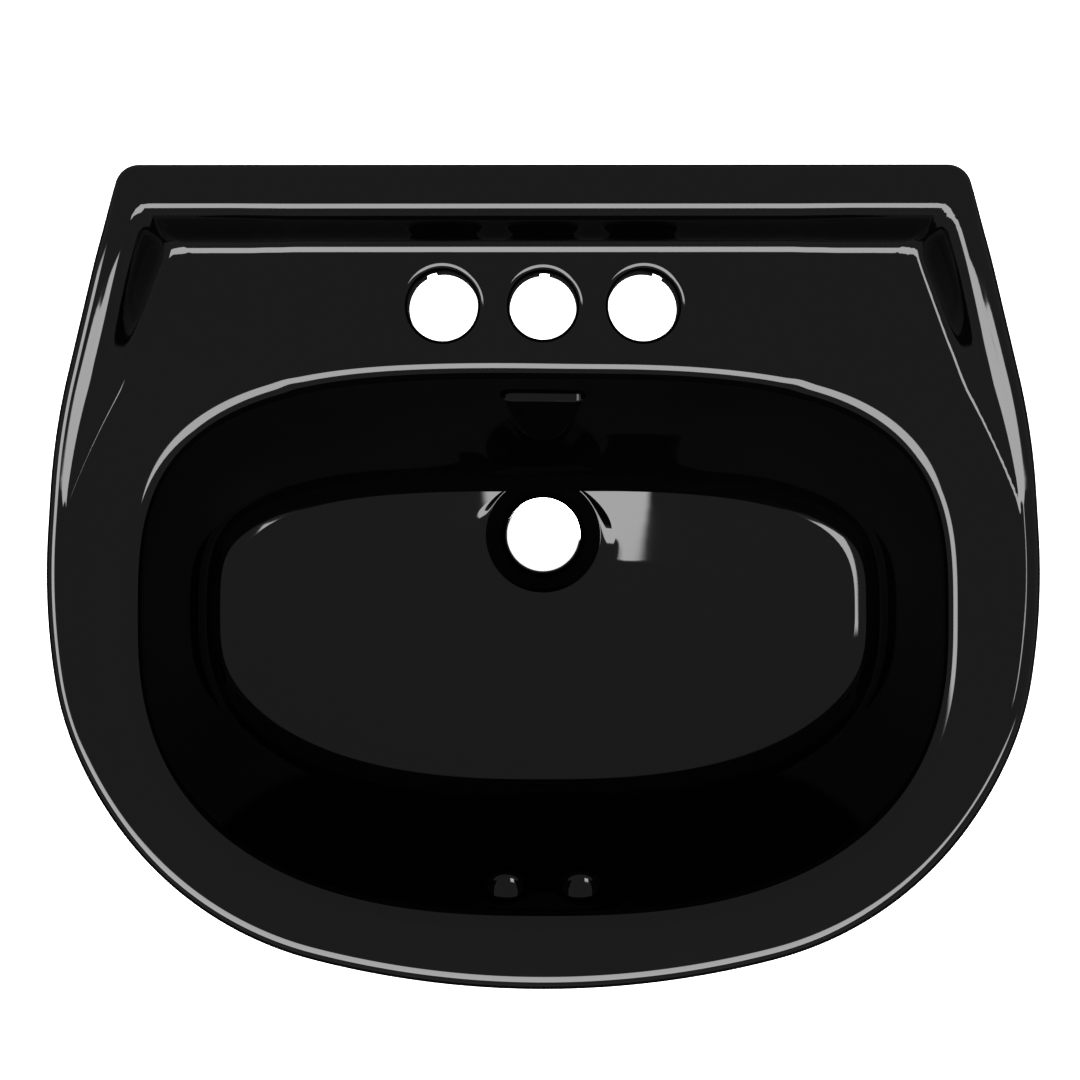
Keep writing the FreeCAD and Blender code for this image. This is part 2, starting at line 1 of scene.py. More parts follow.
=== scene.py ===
"""Looks of the pedestal sink: glossy black china, its soft rubber pads and its metal and nylon fixings."""
import json
import math

import bmesh
import bpy
import numpy as np
from mathutils import Matrix, Vector
from mathutils.bvhtree import BVHTree
from mathutils.geometry import delaunay_2d_cdt


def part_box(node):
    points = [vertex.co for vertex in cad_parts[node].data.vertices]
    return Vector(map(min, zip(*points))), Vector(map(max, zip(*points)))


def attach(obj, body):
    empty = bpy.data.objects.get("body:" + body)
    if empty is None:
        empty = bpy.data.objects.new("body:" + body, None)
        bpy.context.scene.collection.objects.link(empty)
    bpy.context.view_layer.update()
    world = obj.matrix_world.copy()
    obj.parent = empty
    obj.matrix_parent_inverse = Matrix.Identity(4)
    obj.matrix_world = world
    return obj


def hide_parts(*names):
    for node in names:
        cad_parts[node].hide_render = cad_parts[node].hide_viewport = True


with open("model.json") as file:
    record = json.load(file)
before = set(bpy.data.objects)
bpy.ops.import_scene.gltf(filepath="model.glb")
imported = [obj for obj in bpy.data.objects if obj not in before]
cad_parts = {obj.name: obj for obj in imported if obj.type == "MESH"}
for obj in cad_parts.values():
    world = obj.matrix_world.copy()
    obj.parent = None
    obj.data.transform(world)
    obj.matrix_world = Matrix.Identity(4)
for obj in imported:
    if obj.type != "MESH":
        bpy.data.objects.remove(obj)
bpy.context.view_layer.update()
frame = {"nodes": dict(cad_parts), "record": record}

MM = 0.001
record = frame["record"]
mounts = {mount["name"]: mount for mount in record["mounts"]}


def mount_mm(name):
    """A mount's place in millimetres."""
    return [value / MM for value in mounts[name]["pos_m"]]


# The basin's size, in millimetres from the drain's axis (X and Y) and from the deck (Z)
BACK_MARGIN = 1.2  # past the CAD solid, so that the wall studs don't show behind the edge
DECK_THICKNESS = mounts["faucet_middle"]["dims"]["length_mm"]
DECK = mount_mm("faucet_middle")[2] + DECK_THICKNESS / 2
basin_low, basin_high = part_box("basin")
HALF_WIDTH = basin_high[0] / MM
FRONT = basin_low[1] / MM
BACK = basin_high[1] / MM + BACK_MARGIN
LEDGE_HEIGHT = basin_high[2] / MM - DECK
THROAT_END = basin_low[2] / MM - DECK
DRAIN_RADIUS = mounts["drain"]["dims"]["r_mm"]
WALL = 12.0
SEAT = -148.0

# Plan of the rim
WIDEST = -20.0
BEND_END = 80.0
FRONT_RADIUS = 470.0
SIDE_RADIUS = 345.0
CORNER_RADIUS = 176.0
REAR_RADIUS = 12.0

# Columns of the basin's mesh on each piece of its outline
FRONT_COLUMNS = 56
CORNER_COLUMNS = 40
SIDE_COLUMNS = 30
STRAIGHT_COLUMNS = 22
REAR_COLUMNS = 10
BACK_COLUMNS = 150

# Rows of the basin's mesh on each part of its section
ROLL_STEPS = 12
WALL_STEPS = 34
FILLET_STEPS = 14
FLOOR_STEPS = 40
DECK_STEPS = 62
APRON_STEPS = 16
INSIDE_STEPS = 14
CEILING_STEPS = 8

# Rolled edges and the apron
FRONT_ROLL = 8.3
SIDE_ROLL = 6.3
BACK_ROLL = 3.5
APRON_DRAFT = 3.0
APRON_DEPTH = 58.0
PANEL_DEPTH = 110.0
PANEL_END = 203.0
PANEL_TURN = 38.0

# Back ledge, its side arms and the raised side rims
LEDGE_MIDDLE = 151.4
LEDGE_SLOPE = 25.5
ARM_START = 0.0
ARM_END = 150.0
ARM_EASE = 0.15
ARM_TOP = 9.5
ARM_NARROWEST = 1.2
ARM_SPREAD = 33.0
ARM_WIDTH = 16.5
ARM_WIDENING = 7.0
LEDGE_CORNER = 0.3
CLIMB_TURN = 0.523
CLIMB_PACE = 1.313
CLIMB_ROUND = 1.376
SIDE_RISE = 2.6
SIDE_RISE_START = -150.0
SIDE_RISE_LENGTH = 80.0
CREST_SHARE = 0.25
CREST_EDGE = 9.7
CREST_WIDTH = 2.2
RIM_EDGE = 28.0
RIM_WIDTH = 22.0

# Faucet platform and soap dishes
PLATFORM_RISE = 0.9
PLATFORM_EDGE = 138.0
PLATFORM_SOFT = 14.0
PLATFORM_START = 20.0
PLATFORM_FADE = 40.0
DISH_DROP = 0.9
DISH_FRONT = 90.0
DISH_SOFT = 10.0

# Bowl: plan of its edge and the drain's dish
BOWL_CENTRE = -45.0
EDGE_SIDE = 213.0
EDGE_FRONT = -200.0
EDGE_BACK = 87.3
FRONT_POWER = 2.5
BACK_POWER = 3.3
DISH_RADIUS = 34.0
DISH_DEPTH = -120.0
DISH_TILT = 48.0
THROAT_ROLL = 2.0

# Bulge under the overflow slot
CHIN_SHELF = 70.0
CHIN_SHELF_HEIGHT = -28.0
CHIN_TILT = 47.0
CHIN_FRONT = 51.0
CHIN_HOLLOW = 22.0
CHIN_CURVE_WIDTH = 21.0
CHIN_POWER = 2.6
CHIN_HALF_WIDTH = 26.0
CHIN_TOP = -20.0
CHIN_END = -95.0

# Fall of the bowl's floor, and its rise behind the drain: two rises, as the height gained, where
# it starts in X and over what length; the same for the reach in front of the back wall
FLOOR_FALL = 0.055
HEEL_RISES = ((3.6, -85.0, 70.0), (4.6, -22.0, 42.0))
HEEL_END = 104.0
HEEL_FADE = 60.0
HEEL_FRONT = -30.0
HEEL_REACH = 20.0
HEEL_MORE_REACH = (22.0, -12.0, 24.0)

# Overflow holes and wall bolt holes, with heights from the deck
SLOT_HEIGHT = -21.5
SLOT_HALF_WIDTH = 22.0
SLOT_HALF_HEIGHT = 5.5
SLOT_CORNER = 5.4
PORT_SPACING = 39.0
PORT_HEIGHT = -25.0
PORT_RADIUS = 8.4
BOLT_HOLE_RADIUS = 8.0

# ---------------------------------------------------------------------------------------------
# Small helpers
# ---------------------------------------------------------------------------------------------


def ease(value):
    """0 below 0, 1 above 1, smooth between."""
    value = np.clip(value, 0.0, 1.0)
    return value**3 * (10 - 15 * value + 6 * value**2)


def ramp(value, soft):
    """0 to 1 at an even pace, with both ends eased over the given share."""
    value = np.clip(value, 0, 1)
    start = value**2 / (2 * soft * (1 - soft))
    middle = (value - soft / 2) / (1 - soft)
    end = 1 - (1 - value) ** 2 / (2 * soft * (1 - soft))
    return np.where(value < soft, start, np.where(value > 1 - soft, end, middle))


def blend_max(first, second, reach):
    """The larger of two numbers, rounded where they meet."""
    overlap = np.maximum(reach - np.abs(first - second), 0) / reach
    return np.maximum(first, second) + overlap**2 * reach / 4


def arc_points(centre, radius, start, end, count):
    """Points and outward normals of an arc, without its last point."""
    first = math.atan2(start[1] - centre[1], start[0] - centre[0])
    last = math.atan2(end[1] - centre[1], end[0] - centre[0])
    if last < first:
        last += 2 * math.pi
    angles = first + (last - first) * np.arange(count) / count
    normals = np.stack([np.cos(angles), np.sin(angles)], axis=1)
    return np.array(centre) + radius * normals, normals


def circles_meet(centre_a, radius_a, centre_b, radius_b):
    """The right-hand point at the given distances from two centres."""
    centre_a, centre_b = np.array(centre_a, float), np.array(centre_b, float)
    span = np.linalg.norm(centre_b - centre_a)
    along = (radius_a**2 - radius_b**2 + span**2) / (2 * span)
    across = math.sqrt(radius_a**2 - along**2)
    forward = (centre_b - centre_a) / span
    aside = np.array([-forward[1], forward[0]])
    options = [centre_a + forward * along + sign * aside * across for sign in (-1, 1)]
    return max(options, key=lambda point: point[0])


def toward(centre, point, radius):
    """The point of a circle in the direction of another point."""
    direction = np.array(point) - np.array(centre)
    return np.array(centre) + direction / np.linalg.norm(direction) * radius


FRONT_CENTRE = (0.0, FRONT + FRONT_RADIUS)
SIDE_CENTRE = (HALF_WIDTH - SIDE_RADIUS, WIDEST)
CORNER_CENTRE = circles_meet(
    FRONT_CENTRE, FRONT_RADIUS - CORNER_RADIUS, SIDE_CENTRE, SIDE_RADIUS - CORNER_RADIUS
)


def line_points(start, end, count):
    """Points and outward normals of a straight line, without its last point."""
    share = np.arange(count)[:, None] / count
    along = (end - start) / np.linalg.norm(end - start)
    return start * (1 - share) + end * share, np.tile([along[1], -along[0]], (count, 1))


def rim_outline():
    """Points and outward normals round the basin, from the front's left end anticlockwise."""
    bend = math.asin((BEND_END - WIDEST) / SIDE_RADIUS)
    outward = np.array([math.cos(bend), math.sin(bend)])
    side_end = SIDE_CENTRE + outward * SIDE_RADIUS
    inner_end = side_end - outward * REAR_RADIUS
    rear_y = BACK - REAR_RADIUS
    rear_centre = np.array([inner_end[0] - (rear_y - inner_end[1]) * math.tan(bend), rear_y])
    rear_start = rear_centre + outward * REAR_RADIUS
    back_end = rear_centre + np.array([0, REAR_RADIUS])
    front_end = toward(FRONT_CENTRE, CORNER_CENTRE, FRONT_RADIUS)
    side_start = toward(SIDE_CENTRE, CORNER_CENTRE, SIDE_RADIUS)
    flip = np.array([-1.0, 1.0])
    pieces = [
        arc_points(FRONT_CENTRE, FRONT_RADIUS, flip * front_end, front_end, FRONT_COLUMNS),
        arc_points(CORNER_CENTRE, CORNER_RADIUS, front_end, side_start, CORNER_COLUMNS),
        arc_points(SIDE_CENTRE, SIDE_RADIUS, side_start, side_end, SIDE_COLUMNS),
        line_points(side_end, rear_start, STRAIGHT_COLUMNS),
        arc_points(rear_centre, REAR_RADIUS, rear_start, back_end, REAR_COLUMNS),
        line_points(back_end, flip * back_end, BACK_COLUMNS),
        arc_points(flip * rear_centre, REAR_RADIUS, flip * back_end, flip * rear_start, REAR_COLUMNS),
        line_points(flip * rear_start, flip * side_end, STRAIGHT_COLUMNS),
        arc_points(flip * SIDE_CENTRE, SIDE_RADIUS, flip * side_end, flip * side_start, SIDE_COLUMNS),
        arc_points(
            flip * CORNER_CENTRE, CORNER_RADIUS, flip * side_start, flip * front_end, CORNER_COLUMNS
        ),
    ]
    return np.concatenate([points for points, _ in pieces]), np.concatenate([n for _, n in pieces])


def rounded_square(angle, half_width, front_reach, back_reach, front_power, back_power):
    """Distance from the centre to a curve between an ellipse and a rectangle."""
    across, along = np.cos(angle), np.sin(angle)
    reach = np.where(along > 0, back_reach, front_reach)
    power = np.where(along > 0, back_power, front_power)
    share = np.abs(across / half_width) ** power + np.abs(along / reach) ** power
    return share ** (-1 / power)


# ---------------------------------------------------------------------------------------------
# Heights of the deck
# ---------------------------------------------------------------------------------------------


def side_distance(x, y):
    """Distance inward from the basin's side or front corner."""
    x = np.abs(x)
    bend = math.asin((BEND_END - WIDEST) / SIDE_RADIUS)
    straight = (x - SIDE_CENTRE[0]) * math.cos(bend) + (y - WIDEST) * math.sin(bend)
    curved = np.hypot(x - SIDE_CENTRE[0], y - WIDEST)
    past_bend = (y - WIDEST) > (x - SIDE_CENTRE[0]) * math.tan(bend)
    side = SIDE_RADIUS - np.where(past_bend, straight, curved)
    corner = CORNER_RADIUS - np.hypot(x - CORNER_CENTRE[0], y - CORNER_CENTRE[1])
    turn = math.atan2(CORNER_CENTRE[1] - WIDEST, CORNER_CENTRE[0] - SIDE_CENTRE[0])
    in_corner = np.arctan2(y - CORNER_CENTRE[1], x - CORNER_CENTRE[0]) < turn
    return np.where(in_corner & (y < WIDEST), corner, side)


def deck_height(x, y):
    """Height of the basin's top surface outside the bowl."""
    across = np.abs(x)
    inward = side_distance(x, y)
    arm = ramp((y - ARM_START) / (ARM_END - ARM_START), ARM_EASE)
    side_rise = SIDE_RISE * ease((y - SIDE_RISE_START) / SIDE_RISE_LENGTH)
    # the arm is the ledge's own S-shaped slope, which gets narrower and nearer to the rim as the
    # arm gets lower; the side rim in front of it has a short steep crest and a long foot
    widest = ARM_WIDTH + ARM_WIDENING * np.maximum(arm - 0.5, 0)
    width = np.clip(ARM_SPREAD * arm, ARM_NARROWEST, widest)
    climb = np.clip((ARM_TOP + width - inward) / width, 0, 1)
    climb = np.where(climb < CLIMB_TURN, CLIMB_PACE * climb, 1 - CLIMB_ROUND * (1 - climb) ** 2)
    back = ease((y - LEDGE_MIDDLE) / LEDGE_SLOPE + 0.5)
    ledge = np.minimum(blend_max(back, climb, LEDGE_CORNER), 1)
    steep = ease((CREST_EDGE - inward) / CREST_WIDTH)
    gentle = ease((RIM_EDGE - inward) / RIM_WIDTH)
    crest = CREST_SHARE * steep + (1 - CREST_SHARE) * gentle
    ledge_rise = (LEDGE_HEIGHT - side_rise) * arm * ledge
    rim_rise = side_rise * np.maximum(crest, ledge * arm)
    platform = ease((PLATFORM_EDGE - across) / PLATFORM_SOFT) * ease((y - PLATFORM_START) / PLATFORM_FADE)
    dish = ease((across - PLATFORM_EDGE) / PLATFORM_SOFT) * ease((y - DISH_FRONT) / DISH_SOFT)
    return ledge_rise + rim_rise + (PLATFORM_RISE * platform - DISH_DROP * dish) * (1 - ledge)


# ---------------------------------------------------------------------------------------------
# Profiles
# ---------------------------------------------------------------------------------------------


def roll(radius, start, end, steps):
    """Horizontal and downward travel along a rolled edge between two tilts in degrees."""
    tilts = np.radians(np.linspace(start, end, steps + 1))
    across = radius * np.sin(tilts)
    down = -radius * np.cos(tilts)
    return across - across[0], down - down[0]


def join(*parts):
    """One travel from several, each starting where the last one ended."""
    across, down = [0.0], [0.0]
    for part_across, part_down in parts:
        across_end, down_end = across[-1], down[-1]
        across += [across_end + value for value in part_across[1:]]
        down += [down_end + value for value in part_down[1:]]
    return np.array(across), np.array(down)


def straight(across, down, steps):
    """Horizontal and downward travel along a straight stretch."""
    share = np.linspace(0, 1, steps + 1)
    return across * share, down * share


def bowl_profile(edge_radius, steep, wall_length, fillet_radius, floor_tilt):
    """From the bowl's edge to the foot of its wall: inward travel and height."""
    tilt = math.radians(steep)
    across, down = join(
        roll(edge_radius, 0, steep, ROLL_STEPS),
        straight(wall_length * math.cos(tilt), wall_length * math.sin(tilt), WALL_STEPS),
    )
    fillet_across, fillet_down = roll(fillet_radius, 90 - steep, 90 - floor_tilt, FILLET_STEPS)
    # a fillet is a roll turned inside out: its travel across is the roll's travel down
    across, down = join((across, down), (fillet_down, fillet_across))
    return across, -down


SIDE_PROFILE = bowl_profile(edge_radius=9, steep=84, wall_length=80, fillet_radius=30, floor_tilt=30)
FRONT_PROFILE = bowl_profile(edge_radius=9, steep=65, wall_length=93, fillet_radius=34, floor_tilt=8)
BACK_PROFILE = bowl_profile(edge_radius=9.2, steep=66, wall_length=92, fillet_radius=40, floor_tilt=31)


def drain_profile():
    """From the dish's rim down to the throat's lower end: inward travel and height."""
    upper = roll(1.2, 8, DISH_TILT, 5)
    lower = roll(3, DISH_TILT, 90, 6)
    tilt = math.radians(DISH_TILT)
    run = (DISH_RADIUS - DRAIN_RADIUS) - upper[0][-1] - lower[0][-1]
    across, down = join(upper, straight(run, run * math.tan(tilt), 6), lower)
    depth = -THROAT_END + DISH_DEPTH - down[-1]
    chamfer = (np.array([0, -THROAT_ROLL]), np.array([0, THROAT_ROLL]))
    across, down = join((across, down), straight(0, depth - THROAT_ROLL, 6), chamfer)
    return across, -down


def stations(table, steps):
    """Smooth rows through a table of sizes, each column eased by a Hermite curve."""
    table = np.array(table, float)
    count = len(table)
    chord = np.concatenate([[0], np.cumsum(np.linalg.norm(np.diff(table[:, :3], axis=0), axis=1))])
    slopes = np.gradient(table, chord, axis=0)
    rows = []
    for index in range(count - 1):
        span = chord[index + 1] - chord[index]
        for step in range(steps if index < count - 2 else steps + 1):
            share = step / steps
            square, cube = share**2, share**3
            rows.append(
                table[index] * (2 * cube - 3 * square + 1)
                + slopes[index] * span * (cube - 2 * square + share)
                + table[index + 1] * (3 * square - 2 * cube)
                + slopes[index + 1] * span * (cube - square)
            )
    return np.array(rows)


# ---------------------------------------------------------------------------------------------
# A mesh made of rows, with holes cut through it
# ---------------------------------------------------------------------------------------------


class Shell:
    """A closed mesh of rows and columns, in millimetres, into which holes are cut.

    faces has each face's corners with its row, or with None for a face made at a hole; crisp has
    the faces that are shaded flat; base is added to every height.
    """

    def __init__(self, rows, base=0.0):
        rows = np.array(rows)
        self.base = base
        self.row_count, self.column_count = rows.shape[:2]
        self.points = [Vector(point) for point in rows.reshape(-1, 3)]
        self.faces = {}
        self.crisp = set()
        for row in range(self.row_count):
            for column in range(self.column_count):
                below = (row + 1) % self.row_count
                beside = (column + 1) % self.column_count
                corners = ((row, column), (row, beside), (below, beside), (below, column))
                self.add_face([r * self.column_count + c for r, c in corners], row)

    def add_face(self, corners, row=None):
        self.faces[tuple(corners)] = row

    def add_ring(self, points):
        first = len(self.points)
        self.points += [Vector(point) for point in points]
        return list(range(first, len(self.points)))

    def bridge(self, first, second, crisp=False):
        """Quads between two rings with the same number of points, shaded flat if crisp."""
        count = len(first)
        for index in range(count):
            following = (index + 1) % count
            corners = (first[index], first[following], second[following], second[index])
            self.add_face(corners)
            if crisp:
                self.crisp.add(corners)

    def cap(self, ring):
        """A flat end, fanned from its middle."""
        middle = sum((self.points[index] for index in ring), Vector()) / len(ring)
        self.points.append(middle)
        last = len(self.points) - 1
        for index, corner in enumerate(ring):
            self.add_face((corner, ring[(index + 1) % len(ring)], last))

    def hole(self, rows, axis, side, outline, edge, sink, margin=4.0, crisp=False):
        """Cuts a hole with a rolled edge and returns the ring at its inner end.

        rows is the first and last row to cut and the range of places along the axis; axis is the
        direction (0, 1 or 2) that the hole runs along; side says which way the cut surface faces
        (+1 or -1); outline(grow) gives the hole's outline grown outward; edge is the roll's radius
        and sink is how deep the last ring lies under the surface. Faces nearer than margin to the
        roll are remade, and crisp makes the roll a single bevel shaded flat.
        """
        flat = [index for index in range(3) if index != axis]
        inward = Vector([-side if index == axis else 0 for index in range(3)])
        outer = outline(edge)
        centre = outer.mean(axis=0)
        limit = np.abs(outline(edge + margin) - centre).max(axis=0) + 12
        near = []
        for corners, row in self.faces.items():
            if row is None or not rows[0] <= row < rows[1]:
                continue
            place = self.points[corners[0]]
            offset = np.abs(np.array([place[flat[0]], place[flat[1]]]) - centre)
            if (offset < limit).all() and rows[2] < place[axis] < rows[3]:
                near.append(corners)
        tree = BVHTree.FromPolygons(self.points, near)
        keep_out = outline(edge + margin)
        removed = [
            corners
            for corners in near
            if any(inside(self.flat(index, flat), keep_out) for index in corners)
            or any(inside(point, self.flat_face(corners, flat)) for point in keep_out[::4])
        ]
        for corners in removed:
            del self.faces[corners]
        boundary = boundary_loop(removed)

        def on_surface(point, depth):
            start = Vector((0, 0, 0))
            start[flat[0]], start[flat[1]] = point
            start[axis] = side * 2000.0
            hit = tree.ray_cast(start, inward)[0]
            return hit + inward * depth

        rings = []
        tilts = np.radians(np.linspace(0, 90, 2 if crisp else 7)) if edge else [math.pi / 2]
        for tilt in tilts:
            grow = edge * (1 - math.sin(tilt))
            depth = edge * (1 - math.cos(tilt))
            rings.append(self.add_ring([on_surface(point, depth) for point in outline(grow)]))
        if sink is not None:
            rings.append(self.add_ring([on_surface(point, sink) for point in outline(0)]))
        self.fill(boundary, rings[0], flat)
        for first, second in zip(rings, rings[1:]):
            self.bridge(first, second, crisp)
        return rings[-1]

    def flat(self, index, flat):
        """A point's place along the two axes across a hole."""
        return (self.points[index][flat[0]], self.points[index][flat[1]])

    def flat_face(self, corners, flat):
        return np.array([self.flat(index, flat) for index in corners])

    def fill(self, boundary, ring, flat):
        """Triangles between a hole's outermost ring and the faces left round it."""
        indices = boundary + ring
        places = [Vector(self.flat(index, flat)) for index in indices]
        count = len(boundary)
        edges = [(i, (i + 1) % count) for i in range(count)]
        edges += [(count + i, count + (i + 1) % len(ring)) for i in range(len(ring))]
        result = delaunay_2d_cdt(places, edges, [], 0, 1e-6)
        outer = np.array([self.flat(index, flat) for index in boundary])
        inner = np.array([self.flat(index, flat) for index in ring])
        for triangle in result[2]:
            middle = sum((result[0][corner] for corner in triangle), Vector((0, 0))) / 3
            if inside(middle, outer) and not inside(middle, inner):
                self.add_face([indices[result[3][corner][0]] for corner in triangle])

    def to_object(self, name, sharp_row=None):
        """The mesh as an object, shaded smooth except at crisp faces and along sharp_row."""
        mesh = bpy.data.meshes.new(name)
        scaled = [(p.x * MM, p.y * MM, (p.z + self.base) * MM) for p in self.points]
        mesh.from_pydata(scaled, [], [list(corners) for corners in self.faces])
        work = bmesh.new()
        work.from_mesh(mesh)
        for edge in work.edges:
            rows = [vertex.index // self.column_count for vertex in edge.verts]
            edge.smooth = rows != [sharp_row, sharp_row]
        loose = [vertex for vertex in work.verts if not vertex.link_faces]
        bmesh.ops.delete(work, geom=loose, context="VERTS")
        bmesh.ops.recalc_face_normals(work, faces=work.faces)
        work.to_mesh(mesh)
        work.free()
        for polygon, corners in zip(mesh.polygons, self.faces):
            polygon.use_smooth = corners not in self.crisp
        piece = bpy.data.objects.new(name, mesh)
        bpy.context.scene.collection.objects.link(piece)
        return piece


def inside(point, outline):
    """Whether a flat point lies inside a closed outline."""
    x, y = point[0], point[1]
    ahead = np.roll(outline, -1, axis=0)
    crosses = (outline[:, 1] > y) != (ahead[:, 1] > y)
    rise = np.where(ahead[:, 1] == outline[:, 1], 1, ahead[:, 1] - outline[:, 1])
    where = outline[:, 0] + (y - outline[:, 1]) * (ahead[:, 0] - outline[:, 0]) / rise
    return bool(np.count_nonzero(crosses & (x < where)) % 2)


def boundary_loop(faces):
    """The corners round a patch of faces, in order."""
    directed = set()
    for corners in faces:
        for index, corner in enumerate(corners):
            directed.add((corner, corners[(index + 1) % len(corners)]))
    onward = {a: b for a, b in directed if (b, a) not in directed}
    start = next(iter(onward))
    loop = [start]
    while onward[loop[-1]] != start:
        loop.append(onward[loop[-1]])
    assert len(loop) == len(onward), "the patch has more than one boundary"
    return loop


def circle(x, y, radius, count=64):
    """A hole's outline, as a function of how far it is grown."""
    angles = 2 * np.pi * np.arange(count) / count

    def outline(grow):
        ring = radius + grow
        return np.stack([x + ring * np.cos(angles), y + ring * np.sin(angles)], axis=1)

    return outline


def rounded_box(x, y, half_width, half_height, corner, per_corner=8, per_side=12):
    """A rectangle with round corners, as a function of how far it is grown."""

    def outline(grow):
        radius = corner + grow
        points = []
        for turn in range(4):
            sign_x = 1 if turn in (0, 3) else -1
            sign_y = 1 if turn < 2 else -1
            cx = x + sign_x * (half_width - corner)
            cy = y + sign_y * (half_height - corner)
            for step in range(per_corner + 1):
                angle = math.pi / 2 * (turn + step / per_corner)
                points.append((cx + radius * math.cos(angle), cy + radius * math.sin(angle)))
            end = points[-1]
            next_x = x + (half_width - corner) * (1 if (turn + 1) % 4 in (0, 3) else -1)
            next_y = y + (half_height - corner) * (1 if (turn + 1) % 4 < 2 else -1)
            angle = math.pi / 2 * (turn + 1)
            following = (next_x + radius * math.cos(angle), next_y + radius * math.sin(angle))
            for step in range(1, per_side):
                share = step / per_side
                points.append(
                    (end[0] + (following[0] - end[0]) * share, end[1] + (following[1] - end[1]) * share)
                )
        return np.array(points)

    return outline


# ---------------------------------------------------------------------------------------------
# Materials
# ---------------------------------------------------------------------------------------------


def new_material(name, base, roughness, metallic=0.0):
    """A plain material to build on; returns it with its tree and its shader."""
    material = bpy.data.materials.new(name)
    material.use_nodes = True
    tree = material.node_tree
    shader = tree.nodes["Principled BSDF"]
    shader.inputs["Base Color"].default_value = (*base, 1)
    shader.inputs["Roughness"].default_value = roughness
    shader.inputs["Metallic"].default_value = metallic
    return material, tree, shader


def add(tree, kind, **settings):
    """A new node with the given settings."""
    node = tree.nodes.new(kind)
    for key, value in settings.items():
        setattr(node, key, value)
    return node


def noise(tree, scale, detail=2.0, stretch=None):
    """Solid noise in the object's own coordinates."""
    place = add(tree, "ShaderNodeTexCoord")
    texture = add(tree, "ShaderNodeTexNoise")
    texture.inputs["Scale"].default_value = scale
    texture.inputs["Detail"].default_value = detail
    if stretch:
        mapping = add(tree, "ShaderNodeMapping")
        mapping.inputs["Scale"].default_value = stretch
        tree.links.new(place.outputs["Object"], mapping.inputs["Vector"])
        tree.links.new(mapping.outputs["Vector"], texture.inputs["Vector"])
    else:
        tree.links.new(place.outputs["Object"], texture.inputs["Vector"])
    return texture.outputs["Fac"]


def spread(tree, source, low, high, target, middle=(0.3, 0.7)):
    """Feeds a noise to a socket, spread between two values."""
    node = add(tree, "ShaderNodeMapRange")
    node.inputs["From Min"].default_value = middle[0]
    node.inputs["From Max"].default_value = middle[1]
    node.inputs["To Min"].default_value = low
    node.inputs["To Max"].default_value = high
    tree.links.new(source, node.inputs["Value"])
    tree.links.new(node.outputs["Result"], target)


def bump(tree, source, distance, shader):
    """Feeds a noise to a shader as small bumps."""
    node = add(tree, "ShaderNodeBump")
    node.inputs["Strength"].default_value = 1.0
    node.inputs["Distance"].default_value = distance
    tree.links.new(source, node.inputs["Height"])
    tree.links.new(node.outputs["Normal"], shader.inputs["Normal"])


def china():
    """Deep black glaze: almost a mirror, with the faint waviness of a fired surface."""
    material, tree, shader = new_material("glazed_china", (0.0003, 0.0003, 0.0003), 0.06)
    shader.inputs["IOR"].default_value = 1.5
    spread(tree, noise(tree, 22.0, 3.0), 0.035, 0.075, shader.inputs["Roughness"])
    bump(tree, noise(tree, 60.0, 1.0), 0.00002, shader)
    return material


def zinc_steel():
    """Blue-white zinc plating, brushed by the thread and the tools that made it."""
    material, tree, shader = new_material("zinc_steel", (0.55, 0.56, 0.58), 0.32, 1.0)
    spread(tree, noise(tree, 180.0, 4.0, (1.0, 6.0, 1.0)), 0.24, 0.42, shader.inputs["Roughness"])
    bump(tree, noise(tree, 900.0, 3.0), 0.00004, shader)
    return material


def moulded(name, base, roughness):
    """Moulded plastic or rubber with a faint grain."""
    material, tree, shader = new_material(name, base, roughness)
    spread(tree, noise(tree, 120.0, 3.0), roughness - 0.08, roughness + 0.08, shader.inputs["Roughness"])
    bump(tree, noise(tree, 1400.0, 2.0), 0.00003, shader)
    return material


GLAZE = china()
STEEL = zinc_steel()
NYLON = moulded("white_nylon", (0.72, 0.71, 0.68), 0.42)
PLASTIC = moulded("black_plastic", (0.012, 0.012, 0.013), 0.4)
RUBBER = moulded("pad_rubber", (0.02, 0.02, 0.021), 0.75)
FINISHES = {
    "_wall_stud": STEEL,
    "_bolt_washer": STEEL,
    "_bolt_nut": STEEL,
    "_floor_bracket": STEEL,
    "_bracket_screw": STEEL,
    "_bolt_sleeve": NYLON,
    "_screw_sleeve": NYLON,
    "_nut_cap": PLASTIC,
    "_screw_cap": PLASTIC,
    "_pad": RUBBER,
}
for name in frame["nodes"]:
    for ending, finish in FINISHES.items():
        if name.endswith(ending):
            piece = bpy.data.objects[name]
            for slot in piece.material_slots:
                slot.material = finish

# ---------------------------------------------------------------------------------------------
# Basin
# ---------------------------------------------------------------------------------------------


def lift(ring, height):
    """A flat ring given one height, or a height for each point."""
    height = np.broadcast_to(height, (len(ring),))
    return np.column_stack([ring, height])


def bowl_ring(angles, half_width, front, back, centre, front_power, back_power):
    """Points of a rounded outline, at the given angles round its centre."""
    radius = rounded_square(
        angles, half_width, centre - front, back - centre, front_power, back_power
    )
    return np.stack([radius * np.cos(angles), centre + radius * np.sin(angles)], axis=1)


def chin(points):
    """The bulge under the overflow slot: a sloping shelf that ends in a rounded front."""
    x, y, z = points.T
    shelf = CHIN_SHELF + (z - CHIN_SHELF_HEIGHT) / math.tan(math.radians(CHIN_TILT))
    front = CHIN_FRONT + CHIN_HOLLOW * (np.abs(x) / CHIN_CURVE_WIDTH) ** CHIN_POWER
    bulge = blend_max(shelf, front, 3.0)
    moved = -blend_max(-y, -bulge, 1.5)
    below_slot = (y > 0) & (np.abs(x) < CHIN_HALF_WIDTH) & (z < CHIN_TOP) & (z > CHIN_END)
    points[:, 1] = np.where(below_slot, moved, y)
    return points


